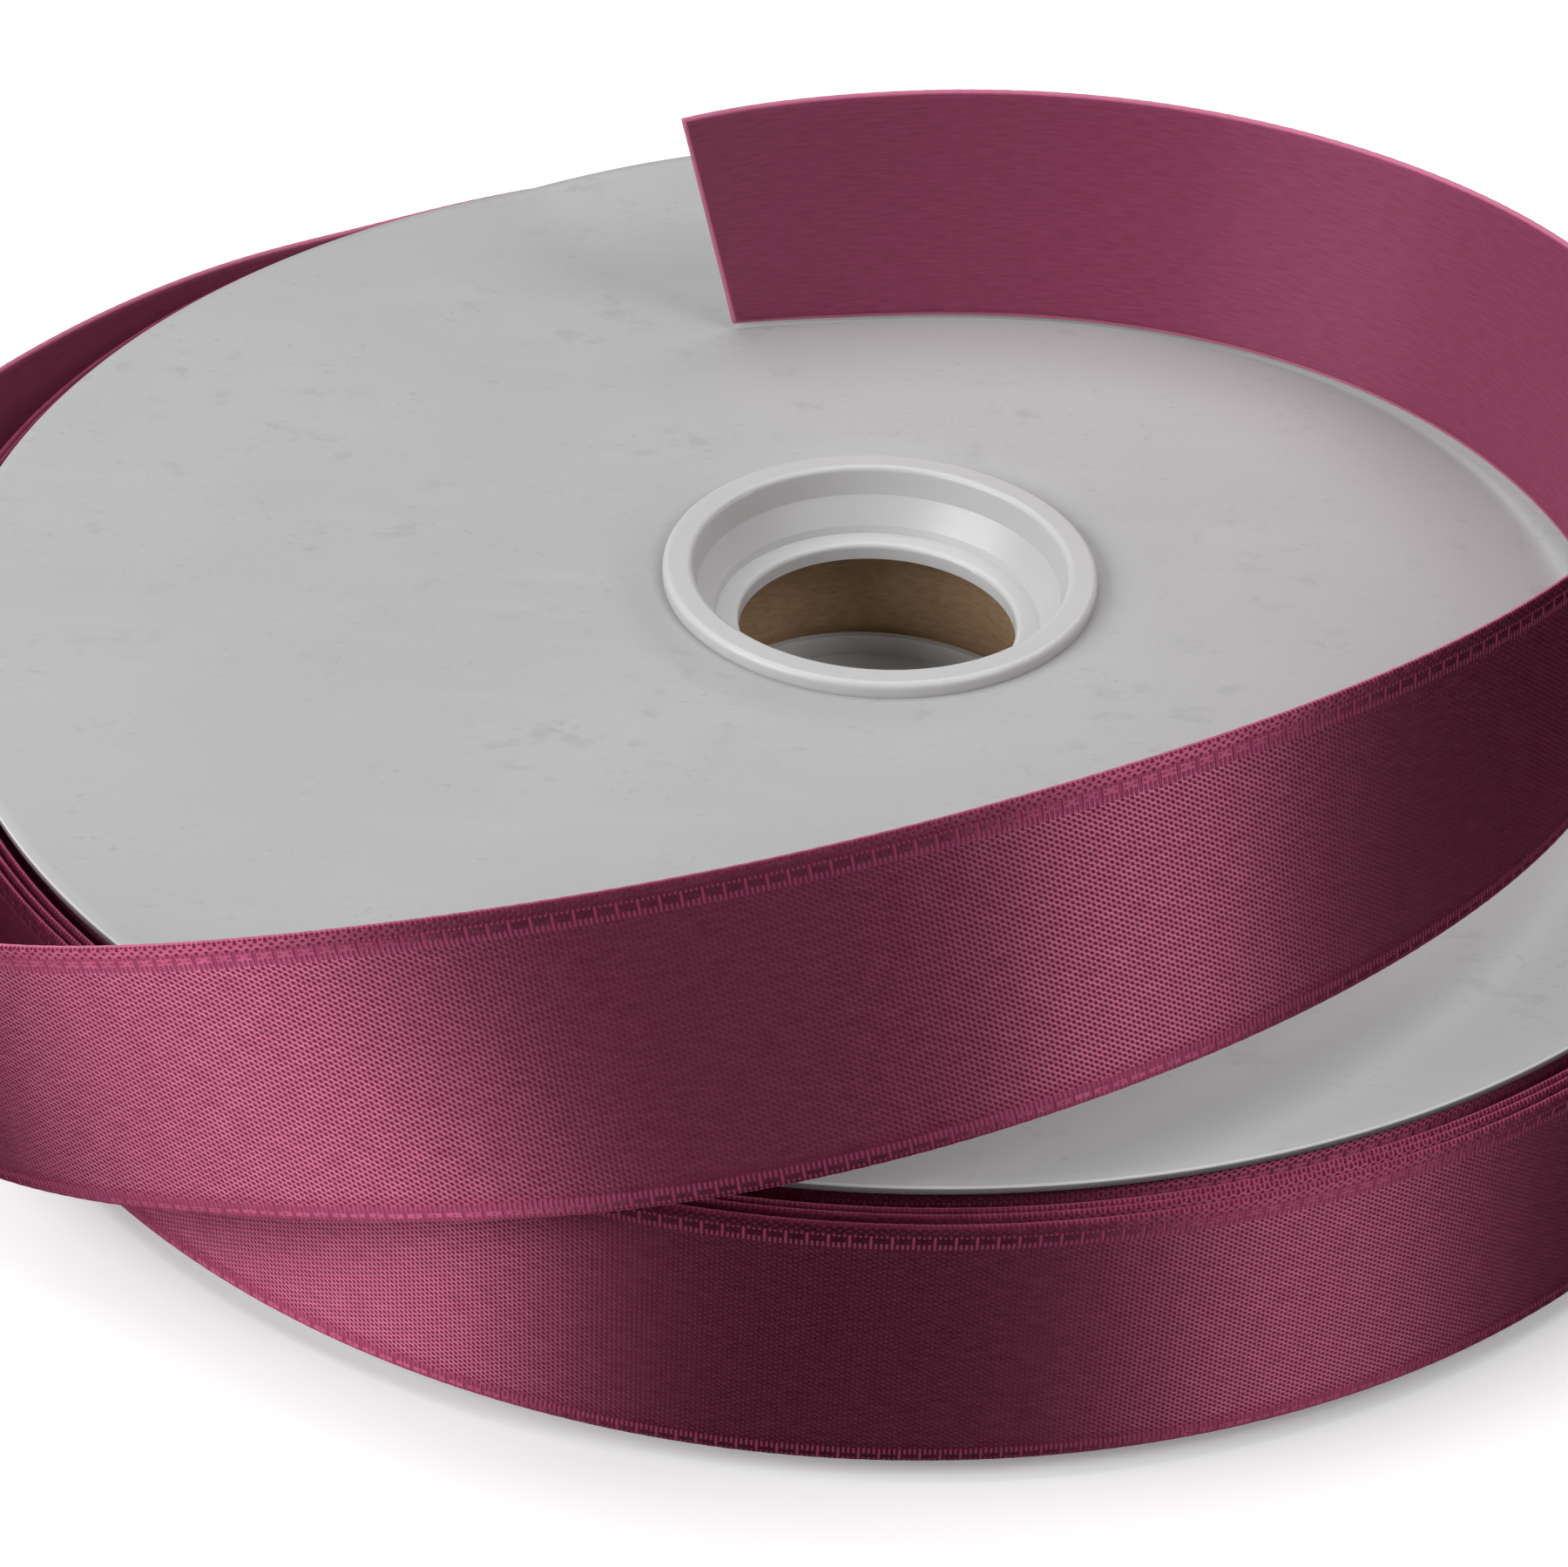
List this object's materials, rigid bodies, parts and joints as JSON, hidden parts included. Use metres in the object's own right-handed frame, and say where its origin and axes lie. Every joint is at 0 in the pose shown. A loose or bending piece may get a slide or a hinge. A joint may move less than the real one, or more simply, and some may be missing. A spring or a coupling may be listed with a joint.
{
  "type": "ribbon spool",
  "caption": "Card-flanged reel of satin ribbon lying on its side, with loose outer turns and a free tail looped over the upper flange; plastic hub plugs with a spindle bore.",
  "frame": {"origin": "middle of the spindle bore, on the reel's axis and halfway between the two hub rims", "axes": "+Z along the bore towards the upper flange, which the tail lies over; the tail's cut end is on the +Y side, and the front of the tail's loop on the -Y side"},
  "size_m": [0.1168, 0.1099, 0.0367],
  "materials": {
    "satin_ribbon": "satin",
    "coated_card": "matte",
    "white_plastic": "satin",
    "kraft_core": "matte",
    "clear_tape": "gloss"
  },
  "bodies": {
    "reel": {"core_tube": "kraft_core", "upper_flange": "coated_card", "lower_flange": "coated_card", "upper_hub_plug": "white_plastic", "lower_hub_plug": "white_plastic", "start_tape": "clear_tape", "ribbon_pack": "satin_ribbon"},
    "loose_ribbon": {"loose_turns": "satin_ribbon", "ribbon_tail": "satin_ribbon"}
  },
  "joints": [
    {"name": "ribbon_slip", "type": "hinge", "parent": "reel", "child": "loose_ribbon", "pos_m": [0, 0, 0], "axis": [0, 0, 1], "range_deg": [-12, 12]}
  ]
}
